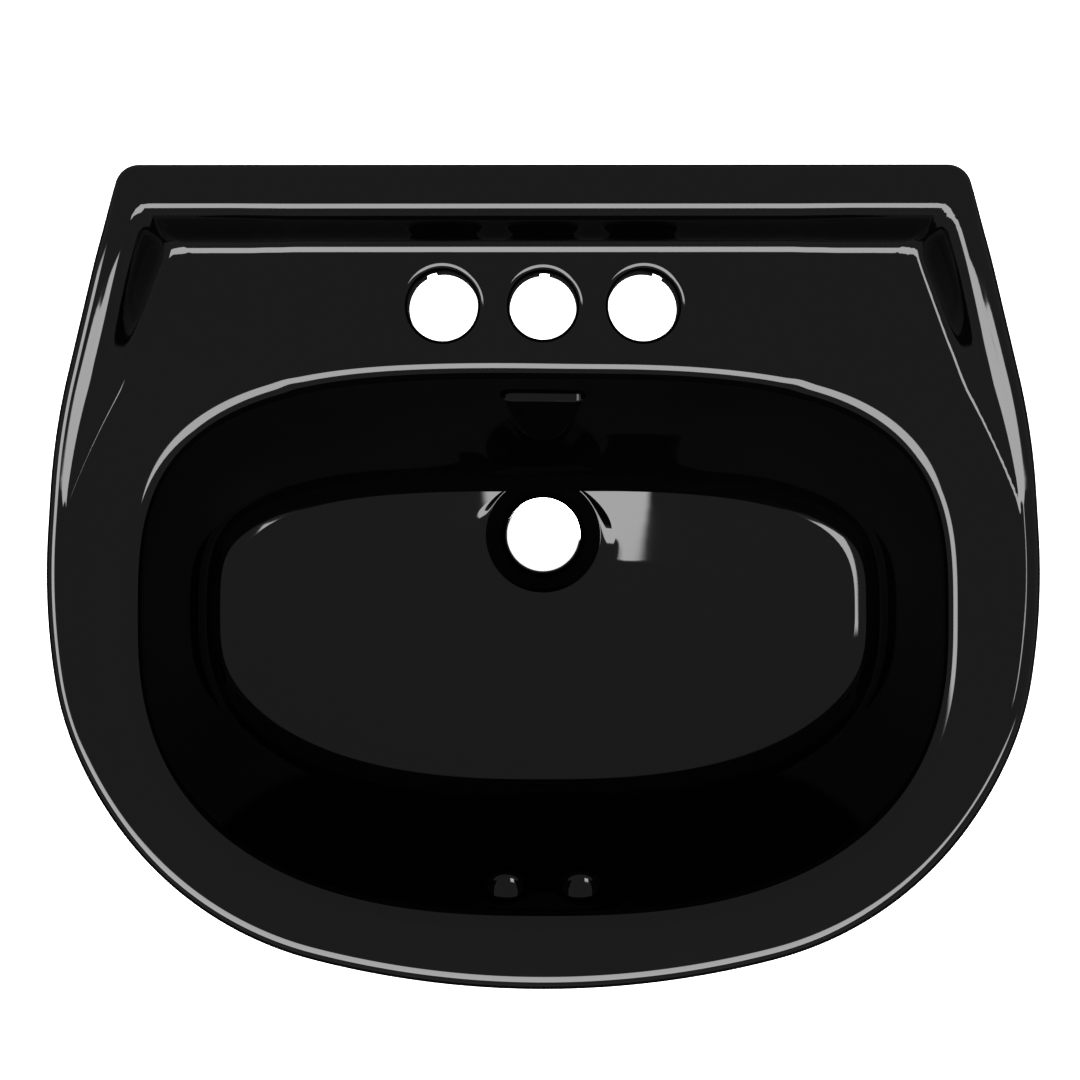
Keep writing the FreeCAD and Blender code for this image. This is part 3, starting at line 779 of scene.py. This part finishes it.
def floor_height(x, y, wall_foot):
    """Height of the bowl's floor: a shallow cone round the drain, and a slope up to the back wall.

    The slope is higher and longer on the drain's right. It was shaped to give the bright
    patch that the photograph has there, and it isn't in the CAD solid.
    """
    cone = FLOOR_FALL * np.maximum(np.hypot(x, y) - DISH_RADIUS, 0)
    height = sum(rise * ease((x - start) / length) for rise, start, length in HEEL_RISES)
    height = height * ease((HEEL_END - x) / HEEL_FADE) * (y > HEEL_FRONT)
    more, start, length = HEEL_MORE_REACH
    reach = HEEL_REACH + more * ease((x - start) / length)
    return DISH_DEPTH + cone, height * np.clip(1 - (wall_foot - y) / reach, 0, 1)


BELLY = (
    # height, half width, front, back
    (-18, 214, -211, 94),
    (-40, 210, -202, 86),
    (-64, 205, -189, 78),
    (-92, 197, -172, 65),
    (-114, 182, -154, 61),
    (-130, 152, -129, 60),
    (-142, 122, -107, 59),
    (SEAT, 108, -98, 57),
)


def build_basin():
    """The basin's mesh, as rows from the drain's throat over the deck and back under it."""
    outline, normals = rim_outline()
    angles = np.arctan2(outline[:, 1] - BOWL_CENTRE, outline[:, 0])
    edge = bowl_ring(
        angles, EDGE_SIDE, EDGE_FRONT, EDGE_BACK, BOWL_CENTRE, FRONT_POWER, BACK_POWER
    )
    drain_angles = np.arctan2(edge[:, 1], edge[:, 0])
    drain_angles = angles + (drain_angles - angles + np.pi) % (2 * np.pi) - np.pi
    drain_directions = np.stack([np.cos(drain_angles), np.sin(drain_angles)], axis=1)
    rows = []

    # drain throat and dish, from the bottom up
    across, height = drain_profile()
    for inward, z in zip(across[::-1], height[::-1]):
        rows.append(lift(drain_directions * (DISH_RADIUS - inward), DISH_DEPTH + z))
    drain_rows = len(rows)

    # bowl floor, from the dish out to the foot of the wall
    back_share = ease((np.sin(angles) - 0.15) / 0.6)
    front_share = np.where(np.sin(angles) > 0, 0, np.sin(angles) ** 2)
    side_share = 1 - back_share - front_share

    def wall_height(index):
        return (
            side_share * SIDE_PROFILE[1][index]
            + front_share * FRONT_PROFILE[1][index]
            + back_share * BACK_PROFILE[1][index]
        )

    def wall_ring(index):
        return bowl_ring(
            angles,
            EDGE_SIDE - SIDE_PROFILE[0][index],
            EDGE_FRONT + FRONT_PROFILE[0][index],
            EDGE_BACK - BACK_PROFILE[0][index],
            BOWL_CENTRE,
            FRONT_POWER,
            BACK_POWER,
        )

    last = len(SIDE_PROFILE[0]) - 1
    foot = wall_ring(last)
    at_back = foot[:, 1] > BOWL_CENTRE
    order = np.argsort(foot[at_back, 0])
    back_foot = foot[at_back][order]
    settle = sum(floor_height(foot[:, 0], foot[:, 1], foot[:, 1])) - wall_height(last)
    dish = drain_directions * DISH_RADIUS
    for step in range(1, FLOOR_STEPS):
        ring = dish + (foot - dish) * step / FLOOR_STEPS
        wall_foot = np.interp(ring[:, 0], back_foot[:, 0], back_foot[:, 1])
        cone, heel = floor_height(ring[:, 0], ring[:, 1], wall_foot)
        rows.append(lift(ring, cone + heel * ease(step / 3)))

    foot_row = len(rows)

    # bowl wall and the bowl's rolled edge; the edge takes up the deck's own heights
    edge_height = deck_height(edge[:, 0], edge[:, 1])
    for index in range(last, -1, -1):
        fade = 1 - ease(index / (ROLL_STEPS + 6))
        height = wall_height(index) + edge_height * fade + settle * index / last
        rows.append(chin(lift(wall_ring(index), height)))
    bowl_rows = len(rows)

    # deck, out to where the rim starts to roll
    back_share = ease((outline[:, 1] - BACK + 40) / 35)
    front_share = ease((-outline[:, 1] - 60) / 110)
    roll_radius = SIDE_ROLL + (FRONT_ROLL - SIDE_ROLL) * front_share
    roll_radius = roll_radius + (BACK_ROLL - roll_radius) * back_share
    shoulder = outline - normals * roll_radius[:, None]
    for step in range(1, DECK_STEPS + 1):
        share = step / DECK_STEPS
        ring = edge * (1 - share) + shoulder * share
        rows.append(lift(ring, deck_height(ring[:, 0], ring[:, 1])))
    deck_rows = len(rows)

    # rolled rim and apron
    top = deck_height(shoulder[:, 0], shoulder[:, 1])
    for tilt in np.radians(np.linspace(0, 90, 13))[1:]:
        ring = outline - normals * (roll_radius * (1 - math.sin(tilt)))[:, None]
        rows.append(lift(ring, top - roll_radius * (1 - math.cos(tilt))))
    panel = ease((PANEL_END - np.abs(outline[:, 0])) / PANEL_TURN) * (outline[:, 1] > BACK - 1)
    bottom = -APRON_DEPTH - (PANEL_DEPTH - APRON_DEPTH) * panel
    foot_roll = 4.0
    draft = APRON_DRAFT * (outline[:, 1] < BACK - 1)
    start = top - roll_radius
    for step in range(1, APRON_STEPS + 1):
        share = step / APRON_STEPS
        ring = outline - normals * (draft * share)[:, None]
        rows.append(lift(ring, start * (1 - share) + (bottom + foot_roll) * share))
    for tilt in np.radians(np.linspace(0, 90, 7))[1:]:
        inset = draft + foot_roll * (1 - math.cos(tilt))
        ring = outline - normals * inset[:, None]
        rows.append(lift(ring, bottom + foot_roll * (1 - math.sin(tilt))))
    apron_rows = len(rows)

    # inside of the apron, up to the underside of the deck
    lip = 3.0
    for tilt in np.radians(np.linspace(0, 90, 5)):
        ring = outline - normals * (WALL - lip * (1 - math.sin(tilt)))
        rows.append(lift(ring, bottom + lip * (1 - math.cos(tilt))))
    under = -DECK_THICKNESS
    for step in range(1, INSIDE_STEPS + 1):
        share = step / INSIDE_STEPS
        height = (bottom + lip) * (1 - share) + (under - lip) * share
        rows.append(lift(outline - normals * WALL, height))
    for tilt in np.radians(np.linspace(0, 90, 5))[1:]:
        ring = outline - normals * (WALL + lip * (1 - math.cos(tilt)))
        rows.append(lift(ring, under - lip * (1 - math.sin(tilt))))
    inner_rows = len(rows)

    # underside of the deck, then the outside of the bowl down to its seat
    belly = stations(BELLY, 4)
    hang_out = bowl_ring(
        angles, belly[0][1] + 4, belly[0][2] - 3, belly[0][3] + 4, BOWL_CENTRE, FRONT_POWER, BACK_POWER
    )
    ceiling = outline - normals * (WALL + lip)
    for step in range(1, CEILING_STEPS + 1):
        share = step / CEILING_STEPS
        rows.append(lift(ceiling * (1 - share) + hang_out * share, under))
    for z, half_width, front, back in belly:
        centre = BOWL_CENTRE * half_width / BELLY[0][1]
        ring = bowl_ring(angles, half_width, front, back, centre, FRONT_POWER, BACK_POWER)
        rows.append(lift(ring, z))
    seat = rows[-1][:, :2]

    # seat, and the outside of the throat
    neck = 4.0
    collar = drain_directions * (DISH_RADIUS + neck)
    for step in range(1, 5):
        share = step / 5
        rows.append(lift(seat * (1 - share) + collar * share, SEAT))
    for tilt in np.radians(np.linspace(0, 90, 5)):
        ring = drain_directions * (DISH_RADIUS + neck * (1 - math.sin(tilt)))
        rows.append(lift(ring, SEAT - neck * (1 - math.cos(tilt))))
    for share in np.linspace(0, 1, 5)[1:]:
        height = (SEAT - neck) * (1 - share) + (THROAT_END + THROAT_ROLL) * share
        rows.append(lift(drain_directions * DISH_RADIUS, height))
    for tilt in np.radians(np.linspace(0, 90, 5))[1:]:
        ring = drain_directions * (DISH_RADIUS - THROAT_ROLL * (1 - math.cos(tilt)))
        rows.append(lift(ring, THROAT_END + THROAT_ROLL * (1 - math.sin(tilt))))

    shell = Shell(rows, base=DECK)
    anywhere = (-1000.0, 1000.0)
    behind = (100.0, 1000.0)
    bowl_back = (0.0, 1000.0)
    bowl_front = (-1000.0, 0.0)

    # faucet holes, through the deck
    for name in ("faucet_left", "faucet_middle", "faucet_right"):
        x, y, _ = mount_mm(name)
        hole = circle(x, y, mounts[name]["dims"]["r_mm"])
        over = shell.hole((bowl_rows, deck_rows, *anywhere), 2, 1, hole, edge=4.2, sink=8, margin=2.5)
        under_rows = (inner_rows - 1, inner_rows + CEILING_STEPS + 1)
        below = shell.hole((*under_rows, *anywhere), 2, -1, hole, edge=0, sink=None, margin=2)
        shell.bridge(over, below)

    # wall bolts, through the back of the apron
    studs = mounts["wall_studs"]
    for side in (-1, 1):
        x = side * studs["dims"]["spacing_x_mm"] / 2
        hole = circle(x, mount_mm("wall_studs")[2] - DECK, BOLT_HOLE_RADIUS, 40)
        outer = shell.hole((deck_rows, apron_rows, *behind), 1, 1, hole, edge=1.5, sink=5)
        inner_ring = shell.hole((apron_rows, inner_rows, *behind), 1, -1, hole, edge=1.5, sink=3)
        shell.bridge(outer, inner_ring)

    # overflow slot in the bowl's back wall and the two overflow holes in its front wall
    wall_rows = (drain_rows + FLOOR_STEPS, bowl_rows)
    slot = rounded_box(0, SLOT_HEIGHT, SLOT_HALF_WIDTH, SLOT_HALF_HEIGHT, SLOT_CORNER, per_side=10)
    end = shell.hole((*wall_rows, *bowl_back), 1, -1, slot, edge=0.4, sink=12, margin=3, crisp=True)
    shell.cap(end)
    for x in (-PORT_SPACING / 2, PORT_SPACING / 2):
        port = circle(x, PORT_HEIGHT, PORT_RADIUS, 40)
        shell.cap(shell.hole((*wall_rows, *bowl_front), 1, 1, port, edge=1.5, sink=9))
    return shell.to_object("china_basin", sharp_row=foot_row)


basin = build_basin()
basin.data.materials.append(GLAZE)
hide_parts("basin")
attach(basin, "root")

# ---------------------------------------------------------------------------------------------
# Pedestal
# ---------------------------------------------------------------------------------------------

PEDESTAL = (
    # height, half width, front, back
    (0, 105, -115, 84),
    (14, 105, -115, 84),
    (45, 96, -106, 78),
    (130, 80, -92, 66),
    (380, 70, -84, 52),
    (560, 77, -84, 48),
    (679, 98, -88, 47),
)
PEDESTAL_WALL = 12.0
PEDESTAL_COLUMNS = 240
PEDESTAL_POWERS = (2.6, 4.5)

# Opening in the back, and the recess and hole of each floor screw
OPENING_MIDDLE = 330.0
OPENING_HALF_WIDTH = 44.0
OPENING_HALF_HEIGHT = 260.0
OPENING_CORNER = 20.0
SCREW_HEIGHT = 30.0
SCREW_HOLE_RADIUS = 7.0
RECESS_RADIUS = 13.0
RECESS_FACE = 97.0


def pedestal_ring(half_width, front, back, inset=0.0):
    """Outline of the pedestal at one height."""
    angles = 2 * np.pi * np.arange(PEDESTAL_COLUMNS) / PEDESTAL_COLUMNS
    middle = (front + back) / 2
    return bowl_ring(
        angles, half_width - inset, front + inset, back - inset, middle, *PEDESTAL_POWERS
    )


def build_pedestal():
    """The pedestal's mesh, as rows up its outside and down its inside."""
    sizes = stations(PEDESTAL, 14)
    rolled = 4.0
    top = sizes[-1][0]
    rows = []
    # rolled foot, outside, rolled head, inside
    for tilt in np.radians(np.linspace(0, 90, 6)):
        ring = pedestal_ring(*sizes[0][1:], inset=rolled * (1 - math.sin(tilt)))
        rows.append(lift(ring, rolled * (1 - math.cos(tilt))))
    for size in sizes:
        if rolled < size[0] < top - rolled:
            rows.append(lift(pedestal_ring(*size[1:]), size[0]))
    for tilt in np.radians(np.linspace(90, 0, 6)):
        ring = pedestal_ring(*sizes[-1][1:], inset=rolled * (1 - math.sin(tilt)))
        rows.append(lift(ring, top - rolled * (1 - math.cos(tilt))))
    outside_rows = len(rows)
    for tilt in np.radians(np.linspace(0, 90, 6)):
        inset = PEDESTAL_WALL - rolled * (1 - math.sin(tilt))
        rows.append(lift(pedestal_ring(*sizes[-1][1:], inset=inset), top - rolled * (1 - math.cos(tilt))))
    for size in sizes[::-1]:
        if rolled < size[0] < top - rolled:
            rows.append(lift(pedestal_ring(*size[1:], inset=PEDESTAL_WALL), size[0]))
    for tilt in np.radians(np.linspace(90, 0, 6)):
        inset = PEDESTAL_WALL - rolled * (1 - math.sin(tilt))
        rows.append(lift(pedestal_ring(*sizes[0][1:], inset=inset), rolled * (1 - math.cos(tilt))))
    shell = Shell(rows)

    # opening in the back, and the side holes of the floor screws
    opening = rounded_box(
        0, OPENING_MIDDLE, OPENING_HALF_WIDTH, OPENING_HALF_HEIGHT, OPENING_CORNER, per_side=24
    )
    outer = shell.hole((0, outside_rows, 0.0, 1000.0), 1, 1, opening, edge=4.0, sink=None)
    inner = shell.hole((outside_rows, len(rows), 0.0, 1000.0), 1, -1, opening, edge=3.0, sink=None)
    shell.bridge(outer, inner)
    for side in (-1, 1):
        reach = (0.0, 1000.0) if side > 0 else (-1000.0, 0.0)
        recess = circle(0, SCREW_HEIGHT, RECESS_RADIUS, 40)
        bore = circle(0, SCREW_HEIGHT, SCREW_HOLE_RADIUS, 40)
        rings = [shell.hole((0, outside_rows, *reach), 0, side, recess, edge=0.8, sink=None)]
        for x, ring in (
            (RECESS_FACE, recess(-0.4)),
            (RECESS_FACE, bore(0.5)),
            (RECESS_FACE - 0.5, bore(0)),
        ):
            rings.append(shell.add_ring([(side * x, *point) for point in ring]))
        rings.append(
            shell.hole((outside_rows, len(rows), *reach), 0, -side, bore, edge=0.8, sink=None)
        )
        for first, second in zip(rings, rings[1:]):
            shell.bridge(first, second)
    return shell.to_object("china_pedestal")


pedestal = build_pedestal()
pedestal.data.materials.append(GLAZE)
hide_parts("pedestal")
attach(pedestal, "root")

# ---------------------------------------------------------------------------------------------
# Stage
# ---------------------------------------------------------------------------------------------


def build_floor():
    """A pale floor as bright as the photograph's background, which isn't seen in reflections."""
    mesh = bpy.data.meshes.new("floor")
    reach = 6.0
    mesh.from_pydata(
        [(-reach, -reach, 0), (reach, -reach, 0), (reach, reach, 0), (-reach, reach, 0)],
        [],
        [(0, 1, 2, 3)],
    )
    floor = bpy.data.objects.new("floor", mesh)
    material, tree, shader = new_material("pale_floor", (0.8, 0.8, 0.8), 0.9)
    spread(tree, noise(tree, 3.0, 4.0), 0.85, 0.95, shader.inputs["Roughness"])
    shader.inputs["Emission Color"].default_value = (1, 1, 1, 1)
    shader.inputs["Emission Strength"].default_value = 1.0
    floor.data.materials.append(material)
    bpy.context.scene.collection.objects.link(floor)
    floor.visible_glossy = False
    return floor


build_floor()


AMBIENT = 0.26
DARK = 0.02
KEY = 9.0
# Slopes of the directions that the softbox covers, to the front and to the left, each as its low
# and high end and its softness: the part in front, then the part at the left
FRONT_PART = {"front": (0.36, 1.5, 0.02), "left": (-0.8, 1.5, 0.02)}
LEFT_PART = {"front": (-0.1, 0.5, 0.08), "left": (0.6, 1.5, 0.03)}
SKY = (-0.12, 5.0, 0.08)
LOWEST_UP = 0.02
FIRST_REFLECTION = 2.5  # a ray that leaves the scene counts as one bounce more


def studio_world():
    """Even grey light from above, dark below the horizon, and a broad softbox in front and left.

    The softbox shows only in first reflections, which keeps the bowl's walls as dark as in the
    photograph: it is a device, and real light would be in the later reflections too.
    """
    world = bpy.data.worlds.new("studio")
    bpy.context.scene.world = world
    world.use_nodes = True
    tree = world.node_tree
    direction = add(tree, "ShaderNodeSeparateXYZ")
    tree.links.new(add(tree, "ShaderNodeTexCoord").outputs["Generated"], direction.inputs["Vector"])

    def compute(operation, first, second=None, third=None):
        node = add(tree, "ShaderNodeMath", operation=operation)
        for socket, value in zip(node.inputs, (first, second, third)):
            if isinstance(value, (int, float)):
                socket.default_value = value
            elif value is not None:
                tree.links.new(value, socket)
        return node.outputs["Value"]

    def between(value, low, high, soft):
        """1 between two values and 0 outside, with soft ends."""
        rise = add(tree, "ShaderNodeMapRange", interpolation_type="SMOOTHSTEP")
        rise.inputs["From Min"].default_value = low - soft
        rise.inputs["From Max"].default_value = low + soft
        fall = add(tree, "ShaderNodeMapRange", interpolation_type="SMOOTHSTEP")
        fall.inputs["From Min"].default_value = high + soft
        fall.inputs["From Max"].default_value = high - soft
        for node in (rise, fall):
            tree.links.new(value, node.inputs["Value"])
        return compute("MULTIPLY", rise.outputs["Result"], fall.outputs["Result"])

    up = compute("MAXIMUM", direction.outputs["Z"], LOWEST_UP)
    left = compute("DIVIDE", compute("MULTIPLY", direction.outputs["X"], -1.0), up)
    front = compute("DIVIDE", compute("MULTIPLY", direction.outputs["Y"], -1.0), up)
    in_front, at_left = (
        compute("MULTIPLY", between(front, *part["front"]), between(left, *part["left"]))
        for part in (FRONT_PART, LEFT_PART)
    )
    depth = add(tree, "ShaderNodeLightPath").outputs["Ray Depth"]
    early = compute("LESS_THAN", depth, FIRST_REFLECTION)
    lamp = compute("MULTIPLY", compute("MAXIMUM", in_front, at_left), early)
    sky = between(direction.outputs["Z"], *SKY)
    ambient = compute("MULTIPLY_ADD", sky, AMBIENT - DARK, DARK)
    brightness = compute("MULTIPLY_ADD", lamp, KEY, ambient)
    background = tree.nodes["Background"]
    background.inputs["Color"].default_value = (1, 1, 1, 1)
    tree.links.new(brightness, background.inputs["Strength"])


studio_world()
bpy.context.scene.view_settings.view_transform = "Standard"

# The photograph has no lens data: this lens is assumed, and the camera's height follows from it
LENS = 50
SENSOR_WIDTH = 36
CAMERA_HEIGHT = 758.0
AIM = (-1.52, -2.5)
camera_data = bpy.data.cameras.new("camera")
camera_data.lens = LENS
camera_data.sensor_width = SENSOR_WIDTH
camera = bpy.data.objects.new("camera", camera_data)
camera.location = (0, 0, (DECK + CAMERA_HEIGHT) * MM)
# the camera looks down with the back of the basin at the picture's top
away = -Vector((AIM[0], AIM[1], -CAMERA_HEIGHT)).normalized()
right = Vector((0, 1, 0)).cross(away).normalized()
camera.rotation_euler = Matrix((right, away.cross(right), away)).transposed().to_euler()
bpy.context.scene.collection.objects.link(camera)
bpy.context.scene.camera = camera
